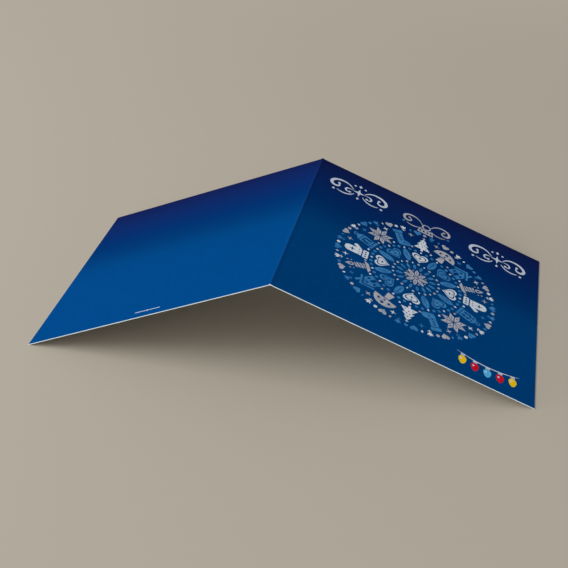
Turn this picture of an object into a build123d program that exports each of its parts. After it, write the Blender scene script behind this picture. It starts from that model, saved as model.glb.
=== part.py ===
from build123d import *

import os
from math import atan2, cos, degrees, radians, sin

# Square folded greeting card, standing open like a tent on its two free edges.
#
# One sheet of coated board, 350 g/m2, is creased across its middle and folded once, with the crease's bead
# on the inside. The two panels are equal and flat. Beside the crease they turn down a little more steeply,
# because the fold still pulls towards closed, so the ridge stands slightly proud of the planes of the panels.
#
# Millimetres. The fold runs along Y, +Z is up, the front panel lies towards +X and the back panel towards -X.
# The origin is on the surface that the card stands on, midway between its two free edges and midway along
# the fold.

# The closed card and its board
closed_width = 148.0  # from the fold to a free edge, along the outer face
closed_height = 148.0  # along the fold
board_thickness = 0.45
opening_angle = 135.0  # degrees, between the two panels on the inside

# The crease, seen from outside
crease_reach = 1.6  # from where the panels' outer planes would meet to where a panel starts to turn down
crease_rise = 0.30  # the ridge's height over that meeting line, before it is rounded
ridge_radius = 0.50
shoulder_radius = 3.0  # where a panel turns into the crease's flank

# The bead, the soft ridge that the creasing rule presses up on the inside of the fold
bead_reach = 0.60  # from the inner corner of the fold to the bead's foot, along the flank
bead_bulge = 0.15  # how far the bead stands out over the line between its feet
bead_foot_radius = 0.20


def down_slope(slope, distance):
    """The step of that length, down to the right at that slope below the horizontal."""
    return Vector(distance * cos(slope), -distance * sin(slope))


def into_board(slope, distance):
    """The step of that length from the outer face straight into the board, on the right-hand side."""
    return Vector(-distance * sin(slope), -distance * cos(slope))


def to_left(point):
    """The same point on the left-hand side of the fold."""
    return Vector(-point.X, point.Y)


# The right-hand half of the section, in X and Z. The left-hand half is its mirror image.
panel_slope = radians(180 - opening_angle) / 2

apex_height = closed_width * sin(panel_slope) + board_thickness * cos(panel_slope)
apex = Vector(0, apex_height)  # where the outer planes of the panels would meet
ridge_top = apex + Vector(0, crease_rise)

outer_free_edge = apex + down_slope(panel_slope, closed_width)
inner_free_edge = outer_free_edge + into_board(panel_slope, board_thickness)

outer_shoulder = apex + down_slope(panel_slope, crease_reach)
flank_slope = atan2(ridge_top.Y - outer_shoulder.Y, outer_shoulder.X)
half_shoulder_turn = (flank_slope - panel_slope) / 2
inner_shoulder = outer_shoulder + into_board(
    panel_slope + half_shoulder_turn,
    board_thickness / cos(half_shoulder_turn),
)

inner_corner = ridge_top - Vector(0, board_thickness / cos(flank_slope))
bead_foot = inner_corner + down_slope(flank_slope, bead_reach)
bead_crown = Vector(0, bead_foot.Y - bead_bulge)

inner_shoulder_radius = shoulder_radius + board_thickness  # concentric with the outer shoulder


def fold_section():
    """The sheet's section across the fold: outer face, cut ends, inner face and bead."""
    with BuildSketch(Plane.XZ) as section:
        with BuildLine():
            FilletPolyline(
                to_left(outer_free_edge),
                to_left(outer_shoulder),
                ridge_top,
                outer_shoulder,
                outer_free_edge,
                radius=(shoulder_radius, ridge_radius, shoulder_radius),
            )
            for side in (lambda point: point, to_left):
                Line(side(outer_free_edge), side(inner_free_edge))
                FilletPolyline(
                    side(inner_free_edge),
                    side(inner_shoulder),
                    side(bead_foot),
                    radius=(inner_shoulder_radius,),
                )
            ThreePointArc(bead_foot, bead_crown, to_left(bead_foot))
        make_face()
        for foot in (bead_foot, to_left(bead_foot)):
            fillet(section.vertices().sort_by_distance(foot)[0], radius=bead_foot_radius)
    return section.sketch


def folded_card():
    """The whole card: its section run along the fold, cut square at the head and the foot."""
    card = extrude(fold_section(), amount=closed_height / 2, both=True)
    card.label = "folded_card"
    return card


os.makedirs("parts", exist_ok=True)
export_step(folded_card(), "parts/folded_card.step")

print("opening angle", opening_angle, "crease flank slope", round(degrees(flank_slope), 1))
print("ridge over the panels", round(crease_rise - ridge_radius * (1 / cos(flank_slope) - 1), 3))
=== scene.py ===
import math

import bmesh
import bpy
from mathutils import Matrix, Vector


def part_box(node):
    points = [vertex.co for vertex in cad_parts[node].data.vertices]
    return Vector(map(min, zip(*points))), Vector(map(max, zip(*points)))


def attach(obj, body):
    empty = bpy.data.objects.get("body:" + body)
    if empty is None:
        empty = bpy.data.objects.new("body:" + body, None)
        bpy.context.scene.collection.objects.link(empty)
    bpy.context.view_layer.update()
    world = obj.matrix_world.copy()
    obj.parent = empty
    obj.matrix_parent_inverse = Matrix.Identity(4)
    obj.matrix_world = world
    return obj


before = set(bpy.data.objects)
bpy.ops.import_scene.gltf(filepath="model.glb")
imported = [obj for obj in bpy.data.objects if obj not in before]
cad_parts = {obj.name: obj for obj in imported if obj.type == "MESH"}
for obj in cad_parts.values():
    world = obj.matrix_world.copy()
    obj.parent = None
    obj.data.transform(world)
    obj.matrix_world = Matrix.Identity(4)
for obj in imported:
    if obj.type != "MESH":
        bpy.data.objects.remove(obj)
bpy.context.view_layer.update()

mm = 0.001

# The card as it comes from the frame. All the print is placed from the planes of its two panels.
card = {
    "node": "folded_card",
    "slope": math.radians(22.5),  # of each panel, below the horizontal
    "board": 0.45 * mm,
}
cardLow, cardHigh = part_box(card["node"])
edgeHeight = card["board"] * math.cos(card["slope"])  # of the outer free edges, with the inner ones at 0
apexHeight = edgeHeight + cardHigh.x * math.tan(card["slope"])  # where the outer planes would meet
panelWidth = cardHigh.x / math.cos(card["slope"])
panelHeight = cardHigh.y - cardLow.y


def panelPlace(side):  # from a flat design in mm, centred on the panel, to the panel's outer face
    apex = Matrix.Translation((0, 0, apexHeight))
    turn = Matrix.Rotation(side * card["slope"], 4, "Y")
    return apex @ turn @ Matrix.Translation((side * panelWidth / 2, 0, 0)) @ Matrix.Scale(mm, 4)


frontPanel = panelPlace(1)
backPanel = panelPlace(-1)
print("card: panels", round(panelWidth / mm, 1), "by", round(panelHeight / mm, 1), "mm")


# Colours are sRGB hex values, and Blender's sockets take linear ones
def linear(hexColour):
    channels = [int(hexColour[i:i + 2], 16) / 255 for i in (1, 3, 5)]
    return [c / 12.92 if c <= 0.04045 else ((c + 0.055) / 1.055) ** 2.4 for c in channels] + [1]


# Adds a node. A setting is a property, and a link is a value or another node's socket for an input, which
# goes by its name or number. In a Mix node 0 is the factor, 2 and 3 are numbers, and 6 and 7 are colours.
def addNode(tree, kind, links=None, **settings):
    node = tree.nodes.new("ShaderNode" + kind)
    for name, value in settings.items():
        setattr(node, name, value)
    for name, value in (links or {}).items():
        if isinstance(value, bpy.types.NodeSocket):
            tree.links.new(value, node.inputs[name])
        else:
            node.inputs[name].default_value = value
    return node


def newMaterial(name):
    material = bpy.data.materials.new(name)
    material.use_nodes = True
    material.node_tree.nodes.clear()
    return material, material.node_tree


# The matt dispersion varnish over the whole print. It gives the eye a fine dry grain and hardly any sheen.
varnish = {
    "grainSize": 0.35 * mm,  # drawn about twice as coarse as it is
    "roughness": (0.44, 0.56),
    "relief": 0.006 * mm,
    "specular": 0.001,
    "ior": 1.5,
}


def varnishGrain(tree, coords):  # its height, and the roughness that goes with it
    grain = addNode(tree, "TexNoise", {
        "Vector": coords.outputs["Object"], "Scale": 1 / varnish["grainSize"], "Detail": 2,
    })
    smoothest, roughest = varnish["roughness"]
    roughness = addNode(tree, "MapRange", {
        "Value": grain.outputs[0], "To Min": smoothest, "To Max": roughest,
    })
    return grain.outputs[0], roughness.outputs[0]


def finishMaterial(tree, colour, roughness, height):
    bump = addNode(tree, "Bump", {"Height": height, "Distance": varnish["relief"], "Strength": 1})
    shader = addNode(tree, "BsdfPrincipled", {
        "Base Color": colour,
        "Roughness": roughness,
        "Specular IOR Level": varnish["specular"],
        "IOR": varnish["ior"],
        "Normal": bump.outputs[0],
    })
    addNode(tree, "OutputMaterial", {"Surface": shader.outputs[0]})


# Offset-printed coated board, 350 g/m2. It gives the eye a deep even blue that darkens towards the head, and
# a white sheet wherever it was cut or left unprinted.
boardLook = {
    "rampStops": [  # share of the height from the foot, and the ink there
        (0.40, "#003f79"), (0.50, "#003d75"), (0.60, "#00346a"), (0.70, "#002c63"),
        (0.80, "#06265e"), (0.90, "#0b2258"), (1.00, "#0f1a49"),
    ],
    "mottle": 0.05,  # how far the ink's value goes up and down, from the way the board takes it up
    "mottleSize": 3.0 * mm,
    "bare": "#f1f4f7",  # the unprinted inside
    "bareShade": "#e5eaef",
    "bareRoughness": 0.78,
    "fibreSize": 0.5 * mm,
    "fibreLength": 2.5 * mm,
    "core": "#e6f8ff",  # the pulp seen at a cut edge, brightened with a blueish whitener
    "facing": 0.5,  # outer faces look up by more than this, inner ones down by more, cut edges neither
    # How far the ink is rubbed from the fold's crest and in from a cut edge, and what share of it is gone
    "foldWear": {"reach": 0.90 * mm, "share": 0.004},
    "edgeWear": {"reach": 0.25 * mm, "share": 0.05},
    "wearSize": 0.8 * mm,
}


def boardInk(tree, coords, place):  # the blue, from foot to head
    rise = addNode(tree, "MapRange", {
        "Value": place.outputs["Y"], "From Min": cardLow.y, "From Max": cardHigh.y,
    })
    ramp = addNode(tree, "ValToRGB", {0: rise.outputs[0]})
    stops = ramp.color_ramp.elements
    while len(stops) < len(boardLook["rampStops"]):
        stops.new(0.5)
    for stop, (share, ink) in zip(stops, boardLook["rampStops"]):
        stop.position = share
        stop.color = linear(ink)
    mottle = addNode(tree, "TexNoise", {
        "Vector": coords.outputs["Object"], "Scale": 1 / boardLook["mottleSize"],
        "Detail": 3, "Roughness": 0.55,
    })
    value = addNode(tree, "MapRange", {
        "Value": mottle.outputs[0], "From Min": 0.3, "From Max": 0.7,  # the noise keeps near a half
        "To Min": 1 - boardLook["mottle"], "To Max": 1 + boardLook["mottle"],
    })
    ink = addNode(tree, "HueSaturation", {"Color": ramp.outputs[0], "Value": value.outputs[0]})
    return ink.outputs[0]


def bareBoard(tree, coords):  # its fibres lie along the fold
    across = 1 / boardLook["fibreSize"]
    along = 1 / boardLook["fibreLength"]
    place = addNode(tree, "Mapping", {"Vector": coords.outputs["Object"], "Scale": (across, along, across)})
    fibres = addNode(tree, "TexNoise", {"Vector": place.outputs[0], "Scale": 1, "Detail": 4})
    bare = addNode(tree, "Mix", {
        0: fibres.outputs[0], 6: linear(boardLook["bareShade"]), 7: linear(boardLook["bare"]),
    }, data_type="RGBA")
    return bare.outputs[2], fibres.outputs[0]


def boardWear(tree, coords, place):  # the ink is rubbed a little thinner along the fold and at the cut edges
    foldGap = addNode(tree, "Math", {0: place.outputs["X"]}, operation="ABSOLUTE")
    sideGap = addNode(tree, "Math", {0: cardHigh.x, 1: foldGap.outputs[0]}, operation="SUBTRACT")
    along = addNode(tree, "Math", {0: place.outputs["Y"]}, operation="ABSOLUTE")
    endGap = addNode(tree, "Math", {0: cardHigh.y, 1: along.outputs[0]}, operation="SUBTRACT")
    edgeGap = addNode(tree, "Math", {0: sideGap.outputs[0], 1: endGap.outputs[0]}, operation="MINIMUM")
    speckle = addNode(tree, "TexNoise", {
        "Vector": coords.outputs["Object"], "Scale": 1 / boardLook["wearSize"],
        "Detail": 4, "Roughness": 0.7,
    })
    worn = []
    for gap, wear in ((foldGap, boardLook["foldWear"]), (edgeGap, boardLook["edgeWear"])):
        near = addNode(tree, "MapRange", {
            "Value": gap.outputs[0], "From Min": 0, "From Max": wear["reach"],
            "To Min": 2 * wear["share"], "To Max": 0,  # doubled, because the speckles average a half
        }, interpolation_type="SMOOTHSTEP")
        rubbed = addNode(tree, "Math", {0: near.outputs[0], 1: speckle.outputs[0]}, operation="MULTIPLY")
        worn.append(rubbed.outputs[0])
    most = addNode(tree, "Math", {0: worn[0], 1: worn[1]}, operation="MAXIMUM")
    return most.outputs[0]


def coatedBoard():
    material, tree = newMaterial("offsetPrintedCoatedBoard")
    coords = addNode(tree, "TexCoord")
    place = addNode(tree, "SeparateXYZ", {0: coords.outputs["Object"]})
    facing = addNode(tree, "SeparateXYZ", {0: coords.outputs["Normal"]})
    limit = boardLook["facing"]
    printed = addNode(tree, "Math", {0: facing.outputs["Z"], 1: limit}, operation="GREATER_THAN")
    inside = addNode(tree, "Math", {0: facing.outputs["Z"], 1: -limit}, operation="LESS_THAN")

    bare, fibres = bareBoard(tree, coords)
    unprinted = addNode(tree, "Mix", {
        0: inside.outputs[0], 6: linear(boardLook["core"]), 7: bare,
    }, data_type="RGBA")
    face = addNode(tree, "Mix", {
        0: boardWear(tree, coords, place), 6: boardInk(tree, coords, place), 7: bare,
    }, data_type="RGBA")
    colour = addNode(tree, "Mix", {
        0: printed.outputs[0], 6: unprinted.outputs[2], 7: face.outputs[2],
    }, data_type="RGBA")

    # The varnish is smoother than the bare board, and finer in its grain
    grain, varnished = varnishGrain(tree, coords)
    roughness = addNode(tree, "Mix", {
        0: printed.outputs[0], 2: boardLook["bareRoughness"], 3: varnished,
    }, data_type="FLOAT")
    relief = addNode(tree, "Mix", {0: printed.outputs[0], 2: fibres, 3: grain}, data_type="FLOAT")
    finishMaterial(tree, colour.outputs[2], roughness.outputs[0], relief.outputs[0])
    return material


# Offset inks of the motifs, under the same varnish. Each gives the eye a flat field that varies a little
# from light to shade in patches of the given width, as a brushed drawing does when it is printed. The whites
# are the board under a light tint of the blue.
inkLooks = {
    "coolWhite": {"light": "#d8e0e8", "shade": "#c6d1dc", "patch": 7.0 * mm},
    "paleBlueWhite": {"light": "#ccd5e1", "shade": "#bcc7d7", "patch": 6.0 * mm},
    "warmSilver": {"light": "#bab8bd", "shade": "#959eae", "patch": 4.0 * mm},
    "lightBlue": {"light": "#4086bd", "shade": "#2c6aa4", "patch": 5.0 * mm},
    "signalRed": {"light": "#d3172c", "shade": "#c21328", "patch": 2.0 * mm},
    "amberYellow": {"light": "#f3cf1a", "shade": "#eabf12", "patch": 2.0 * mm},
    "iceCyan": {"light": "#5fb9e6", "shade": "#4facdd", "patch": 2.0 * mm},
}


def printInk(name):
    look = inkLooks[name]
    material, tree = newMaterial("offsetInk" + name[0].upper() + name[1:])
    coords = addNode(tree, "TexCoord")
    patch = addNode(tree, "TexNoise", {
        "Vector": coords.outputs["Object"], "Scale": 1 / look["patch"], "Detail": 3, "Roughness": 0.6,
    })
    spread = addNode(tree, "MapRange", {
        "Value": patch.outputs[0], "From Min": 0.35, "From Max": 0.65,  # the noise keeps near a half
    })
    colour = addNode(tree, "Mix", {
        0: spread.outputs[0], 6: linear(look["shade"]), 7: linear(look["light"]),
    }, data_type="RGBA")
    grain, roughness = varnishGrain(tree, coords)
    finishMaterial(tree, colour.outputs[2], roughness, grain)
    return material


boardMaterial = coatedBoard()
inks = {name: printInk(name) for name in inkLooks}
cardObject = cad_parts[card["node"]]
cardObject.data.materials.clear()
cardObject.data.materials.append(boardMaterial)
print("materials:", 1 + len(inks))


# The print is laid on as flat shapes a few hundredths of a millimetre thick. A motif is drawn in a circle of
# about radius 1 and stamped at its size in mm.
layer = {
    "rise": 0.030,  # mm over the board's face
    "step": 0.010,  # from one level to the next
    "depth": 0.045,  # of the shapes, so that their undersides lie inside the board
    "cornerSegments": 5,
}

# A shape's ink, by its place among the piece's materials
own = 0
ground = 1  # the board's blue, for what is left open in a motif

# A shape's level, so that none flickers through another
joined = 0.5  # a part in the same ink that runs over the motif's first shape
detail = 1  # on the motif
inlay = 2  # on a detail
inlayDetail = 3  # on an inlay


def plate(bm, corners, ink=own, level=0, rounding=0):  # a corner may have its own radius as a third number
    verts = [bm.verts.new((corner[0], corner[1], level)) for corner in corners]
    bm.faces.new(verts).material_index = ink
    radii = [corner[2] if len(corner) > 2 else rounding for corner in corners]
    for radius in sorted(set(radii) - {0}):
        alike = [vert for vert, vertRadius in zip(verts, radii) if vertRadius == radius]
        bmesh.ops.bevel(bm, geom=alike, offset=radius, offset_type="OFFSET", affect="VERTICES",
                        segments=layer["cornerSegments"], profile=0.5, clamp_overlap=True, material=-1)


def roundPlate(bm, x, y, radius, ink=own, level=0, segments=18, shape=None):
    made = bmesh.ops.create_circle(bm, cap_ends=True, segments=segments, radius=1)["verts"]
    for vert in made:
        across, up = (vert.co.x, vert.co.y) if shape is None else shape(vert.co.x, vert.co.y)
        vert.co = (x + across * radius, y + up * radius, level)
    made[0].link_faces[0].material_index = ink


def addTo(target, bm):  # a bmesh takes another one in only by way of a mesh
    mesh = bpy.data.meshes.new("passing")
    bm.to_mesh(mesh)
    bm.free()
    target.from_mesh(mesh)
    bpy.data.meshes.remove(mesh)


def stampInto(target, draw, x=0, y=0, size=1, turn=0):
    bm = bmesh.new()
    draw(bm)
    sized = Matrix.Diagonal((size, size, 1, 1))
    place = Matrix.Translation((x, y, 0)) @ Matrix.Rotation(turn, 4, "Z") @ sized
    bmesh.ops.transform(bm, matrix=place, verts=bm.verts)
    addTo(target, bm)


def spun(target, count, draw, turn=0):
    bm = bmesh.new()
    draw(bm)
    bmesh.ops.spin(bm, geom=bm.verts[:] + bm.edges[:] + bm.faces[:], cent=(0, 0, 0), axis=(0, 0, 1),
                   angle=math.tau * (count - 1) / count, steps=count - 1, use_duplicate=True)
    bmesh.ops.rotate(bm, cent=(0, 0, 0), matrix=Matrix.Rotation(turn, 3, "Z"), verts=bm.verts)
    addTo(target, bm)


# What turns a circle's point into a heart's, a drop's and so on. The larger a form's point is, the slimmer
# it gets towards its tip.
heartForm = {"width": 0.95, "lift": 0.08}
dropForm = {"width": 0.78, "point": 0.75}
leafForm = {"width": 0.40, "point": 0.3}


def heartShape(x, y):  # the usual heart curve
    angle = math.atan2(x, y)
    up = 13 * math.cos(angle) - 5 * math.cos(2 * angle) - 2 * math.cos(3 * angle) - math.cos(4 * angle)
    return heartForm["width"] * math.sin(angle) ** 3, up / 17 + heartForm["lift"]


def dropShape(x, y):  # a drop, with its tip up
    return dropForm["width"] * x * ((1 - y) / 2) ** dropForm["point"], y


def leafShape(x, y):  # a slender leaf, pointed at both ends
    return leafForm["width"] * x * abs(x) ** leafForm["point"], y


def domeShape(x, y):
    return x, max(y, 0)


def slender(width):
    return lambda x, y: (width * x, y)


diamondCorners = [(0, 1), (0.7, 0), (0, -1), (-0.7, 0)]
sparkleCorners = [(0, 1), (0.2, 0.2), (1, 0), (0.2, -0.2), (0, -1), (-0.2, -0.2), (-1, 0), (-0.2, 0.2)]


def moved(corners, x, y, size):
    return [(x + size * cornerX, y + size * cornerY) for cornerX, cornerY in corners]


def rectangle(left, foot, right, head):
    return [(left, foot), (right, foot), (right, head), (left, head)]


def arch(left, foot, right, head, radius):  # a rectangle with a round head
    return [(left, foot), (right, foot), (right, head, radius), (left, head, radius)]


def dot(bm):
    roundPlate(bm, 0, 0, 1)


def diamond(bm):
    plate(bm, diamondCorners)


def sparkle(bm):
    plate(bm, sparkleCorners)


def plainHeart(bm):
    roundPlate(bm, 0, 0, 1, segments=36, shape=heartShape)


def heart(bm):  # one in another, with a sparkle in the middle
    roundPlate(bm, 0, 0, 0.95, segments=48, shape=heartShape)
    roundPlate(bm, 0, -0.03, 0.74, ground, detail, 48, heartShape)
    roundPlate(bm, 0, -0.05, 0.60, own, inlay, 48, heartShape)
    plate(bm, moved(sparkleCorners, 0, -0.02, 0.30), ground, inlayDetail)


def leaf(bm):
    roundPlate(bm, 0, 0, 1, segments=24, shape=leafShape)
    roundPlate(bm, 0, 0, 0.62, ground, detail, 16, slender(0.07))


def tulip(bm):
    bloom = [(-0.66, 0.80), (-0.34, 0.42), (0, 0.96), (0.34, 0.42), (0.66, 0.80),
             (0.58, 0.06, 0.34), (0, -0.34, 0.20), (-0.58, 0.06, 0.34)]
    stem = [(-0.08, -0.24), (0.08, -0.24), (0.08, -0.98), (-0.08, -0.98)]
    plate(bm, bloom)
    plate(bm, stem, level=joined)
    for side in (1, -1):
        plate(bm, [(side * 0.06, -0.86), (side * 0.50, -0.34), (side * 0.34, -0.78)])


def rosette(bm):  # leaf-shaped petals, with a small diamond between each two
    petals = 8
    middle = 0.60  # of a petal, from the rosette's

    def petal(part):
        roundPlate(part, 0, middle, 0.40, segments=24, shape=leafShape)
        roundPlate(part, 0, middle, 0.24, ground, detail, 16, slender(0.10))

    def between(part):
        plate(part, moved(diamondCorners, 0, 0.84, 0.09))
    spun(bm, petals, petal)
    spun(bm, petals, between, math.tau / petals / 2)
    roundPlate(bm, 0, 0, 0.15)


def nordicStar(bm):  # a knitted star: four pairs of slanted petals
    gap, foot, spread, reach = 0.03, 0.078, 0.40, 0.915

    def petalPair(part):
        for side in (1, -1):
            slant = [(gap, foot), (spread, foot + spread - gap), (spread, reach),
                     (gap, reach - spread + gap)]
            plate(part, [(side * x, y) for x, y in slant])
            plate(part, moved(diamondCorners, side * (gap + spread) / 2, 0.50, 0.09), ground, detail)
    spun(bm, 4, petalPair)


def firTree(bm):
    half = [(0.28, 0.42), (0.14, 0.42), (0.44, 0.0), (0.22, 0.0), (0.62, -0.56), (0.09, -0.56),
            (0.09, -0.84)]
    balls = [(0, 0.42), (-0.10, 0.12), (0.13, 0.04), (0, -0.22), (-0.29, -0.36), (0.28, -0.38)]
    plate(bm, [(0, 0.80)] + half + [(-x, y) for x, y in half[::-1]], rounding=0.035)
    for x, y in balls:
        roundPlate(bm, x, y, 0.055, ground, detail, 10)
    plate(bm, moved(sparkleCorners, 0, 0.92, 0.15), level=joined)


def mitten(bm):
    thumb = [(0.14, -0.20), (0.30, -0.36), (0.80, 0.10, 0.14), (0.58, 0.36, 0.14)]
    plate(bm, arch(-0.46, -0.36, 0.30, 0.90, 0.36))
    plate(bm, thumb, level=joined)
    plate(bm, rectangle(-0.54, -0.86, 0.38, -0.45), rounding=0.08)
    plate(bm, moved(sparkleCorners, -0.08, 0.34, 0.28), ground, detail)
    for x in (-0.34, -0.08, 0.18):
        plate(bm, moved(diamondCorners, x, -0.655, 0.12), ground, detail)
        roundPlate(bm, x, -0.16, 0.05, ground, detail, 10)


def candle(bm):  # with a wound stripe, on a dish
    dish = [(-0.62, -0.64), (0.62, -0.64), (0.36, -0.90), (-0.36, -0.90)]
    plate(bm, rectangle(-0.26, -0.56, 0.26, 0.20), rounding=0.04)
    for foot in (-0.46, -0.22, 0.02):
        stripe = [(-0.26, foot - 0.07), (0.26, foot + 0.07), (0.26, foot + 0.15), (-0.26, foot + 0.01)]
        plate(bm, stripe, ground, detail)
    roundPlate(bm, 0, 0.63, 0.35, segments=24, shape=dropShape)
    roundPlate(bm, 0, 0.54, 0.16, ground, detail, 16, dropShape)
    plate(bm, dish, rounding=0.07)
    for side in (1, -1):
        for height, size in ((0.66, 0.09), (0.38, 0.07)):
            plate(bm, moved(diamondCorners, side * 0.44, height, size))


def house(bm):
    wall = [(-0.52, -0.84), (0.52, -0.84), (0.52, -0.10), (0, 0.38), (-0.52, -0.10)]
    roof = [(0.80, 0.0), (0, 0.74), (-0.80, 0.0), (-0.69, -0.11), (0, 0.53), (0.69, -0.11)]
    chimney = [(0.32, 0.40), (0.50, 0.24), (0.50, 0.78), (0.32, 0.78)]
    door = arch(-0.14, -0.78, 0.14, -0.24, 0.13)
    plate(bm, wall)
    plate(bm, roof)
    plate(bm, chimney, level=joined)
    plate(bm, door, ground, detail)
    for x in (-0.34, 0.34):
        plate(bm, rectangle(x - 0.09, -0.50, x + 0.09, -0.24), ground, detail)
    roundPlate(bm, 0, 0.04, 0.10, ground, detail, 12)


def lantern(bm):
    hood = [(-0.16, 0.62), (-0.48, 0.36), (0.48, 0.36), (0.16, 0.62)]
    pane = arch(-0.29, -0.46, 0.29, 0.20, 0.20)
    plate(bm, hood, rounding=0.03)
    plate(bm, rectangle(-0.42, -0.58, 0.42, 0.30), rounding=0.03)
    plate(bm, pane, ground, detail)
    plate(bm, rectangle(-0.52, -0.84, 0.52, -0.64), rounding=0.04)
    roundPlate(bm, 0, -0.04, 0.24, own, inlay, shape=dropShape)
    plate(bm, rectangle(-0.11, -0.44, 0.11, -0.30), own, inlay)
    roundPlate(bm, 0, 0.80, 0.18, segments=16)
    roundPlate(bm, 0, 0.80, 0.10, ground, detail, 16)


def stocking(bm):
    foot = [(-0.34, 0.52), (-0.34, -0.84, 0.26), (0.66, -0.84, 0.20), (0.66, -0.40, 0.20),
            (0.24, -0.22, 0.10), (0.24, 0.52)]
    plate(bm, foot)
    plate(bm, rectangle(-0.44, 0.60, 0.34, 0.92), rounding=0.08)
    for x, y in ((-0.05, 0.34), (-0.05, 0.06), (-0.05, -0.24), (0.16, -0.52)):
        plate(bm, moved(diamondCorners, x, y, 0.11), ground, detail)


def toadstool(bm):
    stalk = [(-0.18, -0.16), (-0.28, -0.86), (0.28, -0.86), (0.18, -0.16)]
    roundPlate(bm, 0, -0.06, 0.88, segments=64, shape=domeShape)
    plate(bm, stalk, rounding=0.05)
    for x, y, radius in ((0, 0.52, 0.13), (-0.42, 0.26, 0.11), (0.42, 0.26, 0.11), (0, 0.14, 0.09)):
        roundPlate(bm, x, y, radius, ground, detail)


# A pen line that swells in its middle: a NURBS tube, pressed flat. Its points and thickness are in mm.
pen = {
    "tip": 0.2,  # thickness at both ends, as a share of the middle's
    "steps": 10,  # from one point to the next
    "rise": 0.035,  # mm over the board's face, just over the flat shapes that it crosses
    "under": 0.05,  # what lies this share of the thickness under the axis is pressed into the board
    "merge": 0.008,  # mm, and points that lie closer than this are one
}


def penMesh(points, thickness, side):
    curve = bpy.data.curves.new("penLine", "CURVE")
    curve.dimensions = "3D"
    curve.twist_mode = "Z_UP"
    curve.bevel_depth = thickness / 2
    curve.bevel_resolution = 1
    curve.use_fill_caps = True
    spline = curve.splines.new("NURBS")
    spline.points.add(len(points) - 1)
    for k, (point, (x, y)) in enumerate(zip(spline.points, points)):
        point.co = (side * x, y, 0, 1)
        point.radius = pen["tip"] + (1 - pen["tip"]) * math.sin(math.pi * k / (len(points) - 1))
    spline.order_u = 4
    spline.use_endpoint_u = True
    spline.resolution_u = pen["steps"]
    spline.use_smooth = False
    line = bpy.data.objects.new("penLine", curve)
    mesh = bpy.data.meshes.new_from_object(line)
    bpy.data.objects.remove(line)
    for vert in mesh.vertices:
        under = vert.co.z < -pen["under"] * thickness
        vert.co.z = layer["rise"] - layer["depth"] if under else pen["rise"]
    return mesh


def addPenLine(target, line, side=1, x=0, y=0):
    mesh = penMesh(line["points"], line["thickness"], side)
    bm = bmesh.new()
    bm.from_mesh(mesh)
    bpy.data.meshes.remove(mesh)
    bmesh.ops.remove_doubles(bm, verts=bm.verts, dist=pen["merge"])
    bmesh.ops.dissolve_degenerate(bm, edges=bm.edges, dist=pen["merge"])
    bmesh.ops.translate(bm, vec=(x, y, 0), verts=bm.verts)
    addTo(target, bm)


def newSheet():  # what one piece of the print is drawn on: flat shapes, and pen lines
    return {"flats": bmesh.new(), "lines": bmesh.new()}


def finishPrint(name, sheet, panel, materials):
    flats, lines = sheet["flats"], sheet["lines"]
    for face in flats.faces:
        face.normal_update()
        if face.normal.z < 0:
            face.normal_flip()
    for vert in flats.verts:
        vert.co.z = layer["rise"] + vert.co.z * layer["step"]
    bmesh.ops.solidify(flats, geom=flats.faces[:], thickness=layer["depth"])
    bmesh.ops.recalc_face_normals(flats, faces=flats.faces)
    mesh = bpy.data.meshes.new(name)
    lines.to_mesh(mesh)
    lines.free()
    flats.from_mesh(mesh)
    flats.to_mesh(mesh)
    flats.free()
    for material in materials:
        mesh.materials.append(material)
    mesh.transform(panel)
    piece = bpy.data.objects.new(name, mesh)
    bpy.context.scene.collection.objects.link(piece)
    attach(piece, "root")
    print("print:", name, len(mesh.polygons), "faces")


# The round ornament on the front: rings of folk motifs in three inks, each standing with its foot to the
# centre. In each ring the motifs and the inks come round in turn, and a start of 0.5 puts it half a step on.
white = "coolWhite"
silver = "warmSilver"
blue = "lightBlue"
bauble = {
    "centre": (-0.9, -7.1),  # mm from the panel's centre, as all places on a panel are
    "rings": [
        {"distance": 0, "size": 7.4, "count": 1, "motifs": [rosette], "inks": [silver]},
        {"distance": 10.2, "size": 2.2, "count": 16, "start": 0.5, "motifs": [leaf], "inks": [blue]},
        {"distance": 14.0, "size": 0.8, "count": 24, "motifs": [dot, diamond], "inks": [silver, white]},
        {"distance": 20.8, "size": 5.6, "count": 8, "motifs": [heart], "inks": [white, blue]},
        {"distance": 20.6, "size": 5.4, "count": 8, "start": 0.5, "motifs": [leaf], "inks": [blue]},
        {"distance": 27.2, "size": 1.0, "count": 48, "motifs": [diamond, dot, dot],
         "inks": [white, blue, blue]},
        {"distance": 36.2, "size": 8.1, "count": 16,
         "motifs": [firTree, stocking, nordicStar, lantern, mitten, candle, house, toadstool],
         "inks": [white, blue, silver, blue, white, silver, blue, silver]},
        {"distance": 30.6, "size": 0.7, "count": 16, "start": 0.5, "motifs": [dot],
         "inks": [silver, white]},
        {"distance": 42.6, "size": 2.0, "count": 16, "start": 0.5, "motifs": [sparkle],
         "inks": [silver, white, blue]},
        {"distance": 47.0, "size": 2.6, "count": 32, "start": 0.5, "motifs": [plainHeart, tulip],
         "inks": [blue, white, silver, blue]},
        {"distance": 47.4, "size": 1.1, "count": 32, "motifs": [dot, diamond],
         "inks": [silver, blue, white]},
    ],
}


def drawBauble(sheets):
    centreX, centreY = bauble["centre"]
    for ring in bauble["rings"]:
        for k in range(ring["count"]):
            turn = math.tau * (k + ring.get("start", 0)) / ring["count"]
            motif = ring["motifs"][k % len(ring["motifs"])]
            ink = ring["inks"][k % len(ring["inks"])]
            x = centreX - ring["distance"] * math.sin(turn)
            y = centreY + ring["distance"] * math.cos(turn)
            stampInto(sheets[ink]["flats"], motif, x, y, ring["size"], turn)


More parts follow.
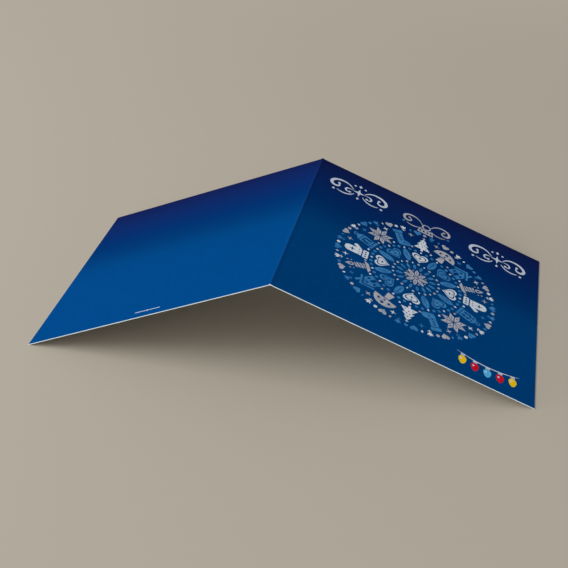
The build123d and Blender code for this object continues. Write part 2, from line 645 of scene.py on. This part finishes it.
# The cap over it, the cap's ring, and the scrolls beside the ring
hanger = {
    "place": (-0.9, 42.8),  # the middle of the cap's foot
    "cap": [(-5.2, 0), (5.2, 0), (4.4, 4.4), (-4.4, 4.4)],
    "capRounding": 0.6,
    "capDiamonds": {"count": 4, "pitch": 2.3, "height": 2.2, "size": 1.2},
    "ring": {"height": 7.4, "outside": 2.9, "inside": 2.0},
    "scroll": {
        "points": [(2.6, 8.4), (4.6, 13.0), (10.4, 15.4), (15.2, 12.2), (15.0, 7.6), (11.0, 6.2),
                   (9.2, 9.4), (11.4, 10.8)],
        "thickness": 1.7,
    },
    "scrollBall": 0.8,
    "tail": {"points": [(3.0, 5.6), (6.4, 2.6), (10.2, 2.4), (12.8, 4.6)], "thickness": 1.3},
    "dot": {"across": 14.6, "up": 4.6, "size": 0.9},
}


def baubleCap(bm):
    diamonds, ring = hanger["capDiamonds"], hanger["ring"]
    plate(bm, hanger["cap"], rounding=hanger["capRounding"])
    for k in range(diamonds["count"]):
        x = diamonds["pitch"] * (k - (diamonds["count"] - 1) / 2)
        plate(bm, moved(diamondCorners, x, diamonds["height"], diamonds["size"]), ground, detail)
    roundPlate(bm, 0, ring["height"], ring["outside"], segments=40)
    roundPlate(bm, 0, ring["height"], ring["inside"], ground, detail, 40)
    endAcross, endUp = hanger["scroll"]["points"][-1]
    for side in (1, -1):
        roundPlate(bm, side * endAcross, endUp, hanger["scrollBall"])


def drawHanger(sheets):
    x, y = hanger["place"]
    blueDot = hanger["dot"]
    stampInto(sheets[silver]["flats"], baubleCap, x, y)
    for side in (1, -1):
        for part in ("scroll", "tail"):
            addPenLine(sheets[silver]["lines"], hanger[part], side, x, y)
        dotX = x + side * blueDot["across"]
        stampInto(sheets[blue]["flats"], dot, dotX, y + blueDot["up"], blueDot["size"])


baubleSheets = {ink: newSheet() for ink in (white, silver, blue)}
drawBauble(baubleSheets)
drawHanger(baubleSheets)
for ink, name, slotName in ((white, "print_white_motifs", "white_ink"),
                            (blue, "print_blue_motifs", "light_blue_ink"),
                            (silver, "print_silver_motifs", "warm_silver_ink")):
    finishPrint(name, baubleSheets[ink], frontPanel, [inks[ink], boardMaterial])

# Two plain scroll ornaments in the upper corners, each the same on both sides of its middle
flourish = {
    "places": {"left": (-46.0, 53.6), "right": (46.0, 52.2)},
    "lines": {
        "upper": {
            "points": [(3.6, 1.0), (6.4, 5.4), (12.2, 6.4), (17.4, 3.4), (18.6, -1.4), (15.0, -4.2),
                       (11.8, -1.8), (13.2, 1.0)],
            "thickness": 2.05,
        },
        "lower": {
            "points": [(2.8, -3.2), (5.0, -7.6), (10.0, -8.8), (13.6, -6.6)],
            "thickness": 1.6,
        },
        "curl": {
            "points": [(4.2, 0.2), (7.6, 0.6), (9.2, -2.0), (7.6, -4.4), (5.6, -3.4)],
            "thickness": 1.4,
        },
    },
    "ball": 0.9,  # where the upper line and the curl end
    "sparkle": 4.3,
    "diamonds": [(7.6, 1.6), (-7.0, 1.3)],  # height and size, over and under the sparkle
    "dots": [(15.6, -7.4, 0.9), (3.4, 6.6, 0.75)],  # place and size, on both sides
}


def flourishMiddle(bm):
    plate(bm, moved(sparkleCorners, 0, 0, flourish["sparkle"]))
    for height, size in flourish["diamonds"]:
        plate(bm, moved(diamondCorners, 0, height, size))
    for side in (1, -1):
        for across, up, size in flourish["dots"]:
            roundPlate(bm, side * across, up, size)
        for part in ("upper", "curl"):
            across, up = flourish["lines"][part]["points"][-1]
            roundPlate(bm, side * across, up, flourish["ball"])


for where, place in flourish["places"].items():
    sheet = newSheet()
    stampInto(sheet["flats"], flourishMiddle, *place)
    for side in (1, -1):
        for line in flourish["lines"].values():
            addPenLine(sheet["lines"], line, side, *place)
    finishPrint("print_flourish_" + where, sheet, frontPanel, [inks["paleBlueWhite"]])

# A short string of coloured lights near the foot, on a wire that sags
lights = {
    "place": (46.6, -56.6),
    "span": 36.0,
    "sag": 3.2,
    "wire": 0.75,
    "wireSteps": 8,
    "glass": ["signalRed", "amberYellow", "iceCyan"],  # inks that follow the piece's own and the ground's
    "bulbs": ["amberYellow", "signalRed", "iceCyan", "signalRed", "amberYellow"],
    "bulbSize": 4.2,  # mm to the unit that a bulb is drawn in
    "bulbDrop": 1.6,  # from the wire to the foot of a bulb's cap
    "bulbWidth": 0.66,  # share of its height
    "bulbTaper": 0.25,  # how much wider it is at its shoulder, and narrower at its end
}


def wireHeight(x):  # over the middle between its lowest and highest points
    return lights["sag"] * ((2 * x / lights["span"]) ** 2 - 1) + lights["sag"] / 2


def bulbShape(x, y):
    return x * lights["bulbWidth"] * (1 + lights["bulbTaper"] * y), y


def bulb(bm, ink):  # its cap with a line round it, the glass, and a highlight on it
    plate(bm, rectangle(-0.30, 0.0, 0.30, 0.42), rounding=0.08)
    plate(bm, rectangle(-0.30, 0.13, 0.30, 0.20), ground, detail)
    roundPlate(bm, 0, -0.85, 0.80, ink, segments=48, shape=bulbShape)
    roundPlate(bm, -0.20, -0.62, 0.15, own, detail)


def drawLights(sheet):
    placeX, placeY = lights["place"]
    steps = [lights["span"] * (k / lights["wireSteps"] - 0.5) for k in range(lights["wireSteps"] + 1)]
    wire = {"points": [(x, wireHeight(x)) for x in steps], "thickness": lights["wire"]}
    addPenLine(sheet["lines"], wire, 1, placeX, placeY)
    for k, glass in enumerate(lights["bulbs"]):
        ink = ground + 1 + lights["glass"].index(glass)
        x = lights["span"] * ((k + 0.5) / len(lights["bulbs"]) - 0.5)
        y = placeY + wireHeight(x) - lights["bulbDrop"]
        stampInto(sheet["flats"], lambda bm: bulb(bm, ink), placeX + x, y, lights["bulbSize"])


lightSheet = newSheet()
drawLights(lightSheet)
lightMaterials = [inks[white], boardMaterial] + [inks[glass] for glass in lights["glass"]]
finishPrint("print_light_string", lightSheet, frontPanel, lightMaterials)

# A thin rule with a diamond in its middle, near the foot of the back
backMark = {"place": (0.4, -68.6), "reach": 7.7, "thickness": 0.42, "middle": 0.70}


def rule(bm):
    reach, half = backMark["reach"], backMark["thickness"] / 2
    pointed = [(-reach, 0), (half - reach, -half), (reach - half, -half), (reach, 0), (reach - half, half),
               (half - reach, half)]
    plate(bm, pointed)
    plate(bm, moved(diamondCorners, 0, 0, backMark["middle"]), level=joined)


backSheet = newSheet()
stampInto(backSheet["flats"], rule, *backMark["place"])
finishPrint("print_back_rule", backSheet, backPanel, [inks["paleBlueWhite"]])


# A painted floor, which gives the eye a plain warm grey with no sheen, and the backdrop that it runs into
studio = {
    "floor": "#a8a093",
    "floorRoughness": 0.9,
    "floorSpecular": 0.1,
    "floorSize": 8.0,  # m
    "fadeFrom": 0.3,  # m from the card, where the floor starts to run into the backdrop
    "fadeTo": 0.95,
    "backdrop": "#b1aa9c",
    "sky": 0.54,  # strength of the white light from all round
}


def makeFloor():
    bm = bmesh.new()
    bmesh.ops.create_grid(bm, x_segments=1, y_segments=1, size=studio["floorSize"] / 2)
    mesh = bpy.data.meshes.new("floor")
    bm.to_mesh(mesh)
    bm.free()
    material, tree = newMaterial("paintedStudioFloor")
    paint = addNode(tree, "BsdfPrincipled", {
        "Base Color": linear(studio["floor"]),
        "Roughness": studio["floorRoughness"],
        "Specular IOR Level": studio["floorSpecular"],
    })
    # Far from the card the backdrop takes over, for the eye only
    backdrop = addNode(tree, "Emission", {"Color": linear(studio["backdrop"])})
    coords = addNode(tree, "TexCoord")
    away = addNode(tree, "VectorMath", {0: coords.outputs["Object"]}, operation="LENGTH")
    fade = addNode(tree, "MapRange", {
        "Value": away.outputs["Value"], "From Min": studio["fadeFrom"], "From Max": studio["fadeTo"],
    }, interpolation_type="SMOOTHSTEP")
    rays = addNode(tree, "LightPath")
    seen = addNode(tree, "Math", {
        0: fade.outputs[0], 1: rays.outputs["Is Camera Ray"],
    }, operation="MULTIPLY")
    surface = addNode(tree, "MixShader", {0: seen.outputs[0], 1: paint.outputs[0], 2: backdrop.outputs[0]})
    addNode(tree, "OutputMaterial", {"Surface": surface.outputs[0]})
    mesh.materials.append(material)
    floor = bpy.data.objects.new("floor", mesh)
    bpy.context.scene.collection.objects.link(floor)


# A large soft lamp high on the left and a weaker one beside the camera, as for a picture of a product. Sides
# and distances are in m. The tilt is from straight above, and the turn is from -X towards the camera.
softboxes = {
    "keySoftbox": {
        "watts": 57.0, "side": 1.6, "distance": 2.4, "tilt": math.radians(60), "turn": math.radians(15),
    },
    "fillSoftbox": {
        "watts": 44.0, "side": 4.2, "distance": 5.0, "tilt": math.radians(55), "turn": math.radians(70),
    },
}


def makeSoftbox(name, watts, side, distance, tilt, turn):
    lamp = bpy.data.lights.new(name, "AREA")
    lamp.shape = "SQUARE"
    lamp.size = side
    lamp.energy = watts
    softbox = bpy.data.objects.new(name, lamp)
    towards = Vector((-math.sin(tilt) * math.cos(turn), -math.sin(tilt) * math.sin(turn), math.cos(tilt)))
    softbox.location = towards * distance
    softbox.rotation_mode = "QUATERNION"
    softbox.rotation_quaternion = towards.to_track_quat("Z", "Y")
    bpy.context.scene.collection.objects.link(softbox)


def makeSky():  # white to light the card, and the backdrop's colour where it is seen or mirrored
    world = bpy.data.worlds.new("studioSky")
    world.use_nodes = True
    tree = world.node_tree
    tree.nodes.clear()
    rays = addNode(tree, "LightPath")
    seen = addNode(tree, "Math", {
        0: rays.outputs["Is Camera Ray"], 1: rays.outputs["Is Glossy Ray"],
    }, operation="MAXIMUM")
    light = addNode(tree, "Background", {"Color": (1, 1, 1, 1), "Strength": studio["sky"]})
    backdrop = addNode(tree, "Background", {"Color": linear(studio["backdrop"]), "Strength": 1})
    sky = addNode(tree, "MixShader", {0: seen.outputs[0], 1: light.outputs[0], 2: backdrop.outputs[0]})
    addNode(tree, "OutputWorld", {"Surface": sky.outputs[0]})
    bpy.context.scene.world = world


makeFloor()
for name, softbox in softboxes.items():
    makeSoftbox(name, **softbox)
makeSky()
print("studio: a floor, a sky and", len(softboxes), "lamps")

# The camera stands where the six corners of the card in the photograph put it
view = {
    "place": Vector((104.33, -529.45, 350.72)) * mm,
    "aim": Vector((-2.75, -27.71, 28.5)) * mm,
    "roll": math.radians(0.08),
    "focalPixels": 1101.95,
    "imagePixels": 568,
    "sensor": 36.0,  # mm
    "clipStart": 0.01,  # m
}


def makeCamera():
    data = bpy.data.cameras.new("camera")
    data.sensor_width = view["sensor"]
    data.lens = view["sensor"] * view["focalPixels"] / view["imagePixels"]
    data.clip_start = view["clipStart"]
    camera = bpy.data.objects.new("camera", data)
    bpy.context.scene.collection.objects.link(camera)
    away = (view["place"] - view["aim"]).normalized()
    aimed = away.to_track_quat("Z", "Y").to_matrix().to_4x4()
    roll = Matrix.Rotation(-view["roll"], 4, "Z")
    camera.matrix_world = Matrix.Translation(view["place"]) @ aimed @ roll
    bpy.context.scene.camera = camera


makeCamera()
bpy.context.scene.view_settings.view_transform = "Standard"
print("camera:", round(bpy.context.scene.camera.data.lens, 1), "mm lens")
